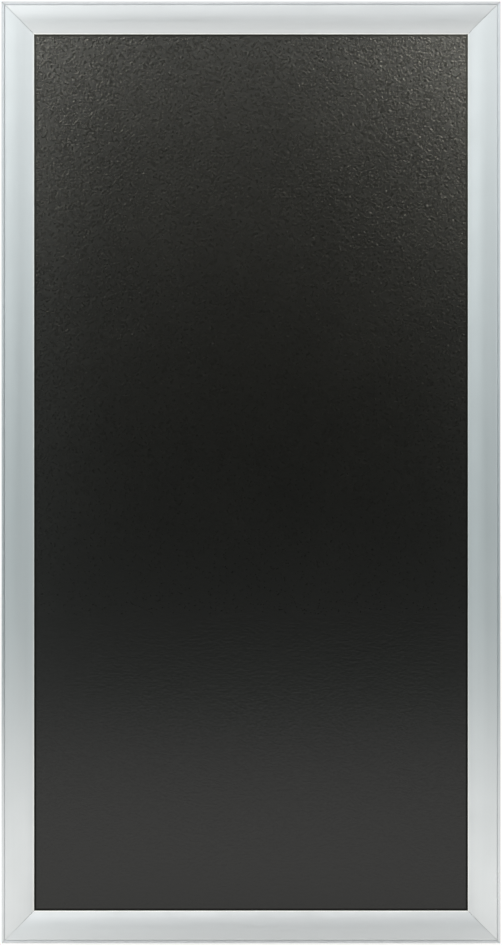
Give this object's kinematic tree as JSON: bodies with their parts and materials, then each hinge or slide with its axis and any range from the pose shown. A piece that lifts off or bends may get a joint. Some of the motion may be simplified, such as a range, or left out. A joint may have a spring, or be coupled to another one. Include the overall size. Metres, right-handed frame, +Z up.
{
  "type": "chalkboard",
  "caption": "Tall black chalkboard in a satin aluminium snap frame with arched, mitred covers that hinge open along the outer edges; flat back for hanging on a wall.",
  "frame": {"origin": "middle of the top base rail's back face, on the wall plane", "axes": "+Z up along the board's long side, +Y out of the back towards the wall, so the board faces -Y"},
  "size_m": [0.676, 0.0185, 1.2761],
  "materials": {
    "anodised_aluminium": "satin natural anodised, drawn lengthwise",
    "mill_aluminium": "satin, as extruded",
    "black_laminate": "matte black writing laminate with a fine orange-peel grain",
    "hardboard": "raw fibreboard",
    "backing_plastic": "matte off-white sheet",
    "zinc_plate": "zinc plated",
    "spring_steel": "bright strip",
    "black_steel": "black oxide"
  },
  "bodies": {
    "frame": {"writing_sheet": "black_laminate", "board_core": "hardboard", "back_panel": "backing_plastic", "base_rail_bottom": "mill_aluminium", "base_rail_left": "mill_aluminium", "base_rail_top": "mill_aluminium", "base_rail_right": "mill_aluminium", "leaf_spring_bottom_1": "spring_steel", "leaf_spring_bottom_2": "spring_steel", "leaf_spring_left_1": "spring_steel", "leaf_spring_left_2": "spring_steel", "leaf_spring_left_3": "spring_steel", "leaf_spring_left_4": "spring_steel", "leaf_spring_top_1": "spring_steel", "leaf_spring_top_2": "spring_steel", "leaf_spring_right_1": "spring_steel", "leaf_spring_right_2": "spring_steel", "leaf_spring_right_3": "spring_steel", "leaf_spring_right_4": "spring_steel", "corner_key_bottom_left": "zinc_plate", "corner_key_top_left": "zinc_plate", "corner_key_top_right": "zinc_plate", "corner_key_bottom_right": "zinc_plate", "grub_screw_bottom_left_1": "black_steel", "grub_screw_bottom_left_2": "black_steel", "grub_screw_top_left_1": "black_steel", "grub_screw_top_left_2": "black_steel", "grub_screw_top_right_1": "black_steel", "grub_screw_top_right_2": "black_steel", "grub_screw_bottom_right_1": "black_steel", "grub_screw_bottom_right_2": "black_steel"},
    "cover_bottom": {"snap_cover_bottom": "anodised_aluminium"},
    "cover_left": {"snap_cover_left": "anodised_aluminium"},
    "cover_top": {"snap_cover_top": "anodised_aluminium"},
    "cover_right": {"snap_cover_right": "anodised_aluminium"}
  },
  "joints": [
    {"name": "cover_bottom_hinge", "type": "hinge", "parent": "frame", "child": "cover_bottom", "pos_m": [0, -0.0133, -1.25195], "axis": [1, 0, 0], "range_deg": [0, 110]},
    {"name": "cover_left_hinge", "type": "hinge", "parent": "frame", "child": "cover_left", "pos_m": [-0.3352, -0.0133, -0.61675], "axis": [0, 0, -1], "range_deg": [0, 110]},
    {"name": "cover_top_hinge", "type": "hinge", "parent": "frame", "child": "cover_top", "pos_m": [0, -0.0133, 0.01845], "axis": [-1, 0, 0], "range_deg": [0, 110]},
    {"name": "cover_right_hinge", "type": "hinge", "parent": "frame", "child": "cover_right", "pos_m": [0.3352, -0.0133, -0.61675], "axis": [0, 0, 1], "range_deg": [0, 110]}
  ]
}
